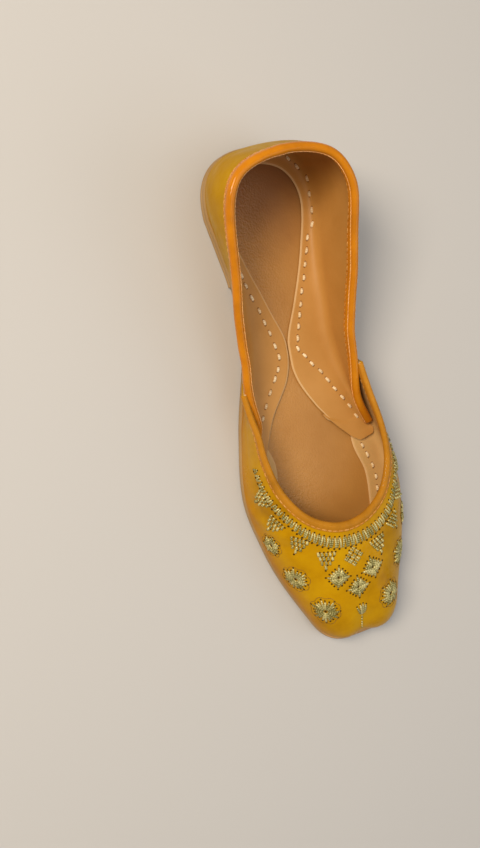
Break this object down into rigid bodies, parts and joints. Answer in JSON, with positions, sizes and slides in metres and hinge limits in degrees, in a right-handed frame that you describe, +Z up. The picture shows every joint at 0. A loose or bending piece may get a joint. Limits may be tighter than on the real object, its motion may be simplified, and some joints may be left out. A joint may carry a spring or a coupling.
{
  "type": "mojari shoe",
  "caption": "Flat slip-on leather mojari with squared toe, open collar and throat, bound edges, flanged inside and low heel.",
  "frame": {"origin": "middle of the bounding box on the floor, under the arch", "axes": "+Y from toe to heel, +X across the shoe, +Z up from the floor"},
  "size_m": [0.0816, 0.247, 0.0593],
  "materials": {
    "sole_leather": "smooth vegetable-tanned sole leather",
    "heel_leather": "stacked leather, cut edge",
    "insole_leather": "grained tan leather",
    "upper_leather": "glossy coated leather, mustard yellow",
    "binding_leather": "glossy folded leather, orange"
  },
  "bodies": {
    "root": {"outsole": "sole_leather", "heel_lift": "heel_leather", "insole": "insole_leather", "upper": "upper_leather", "collar_binding": "binding_leather", "throat_binding": "binding_leather"}
  },
  "joints": []
}
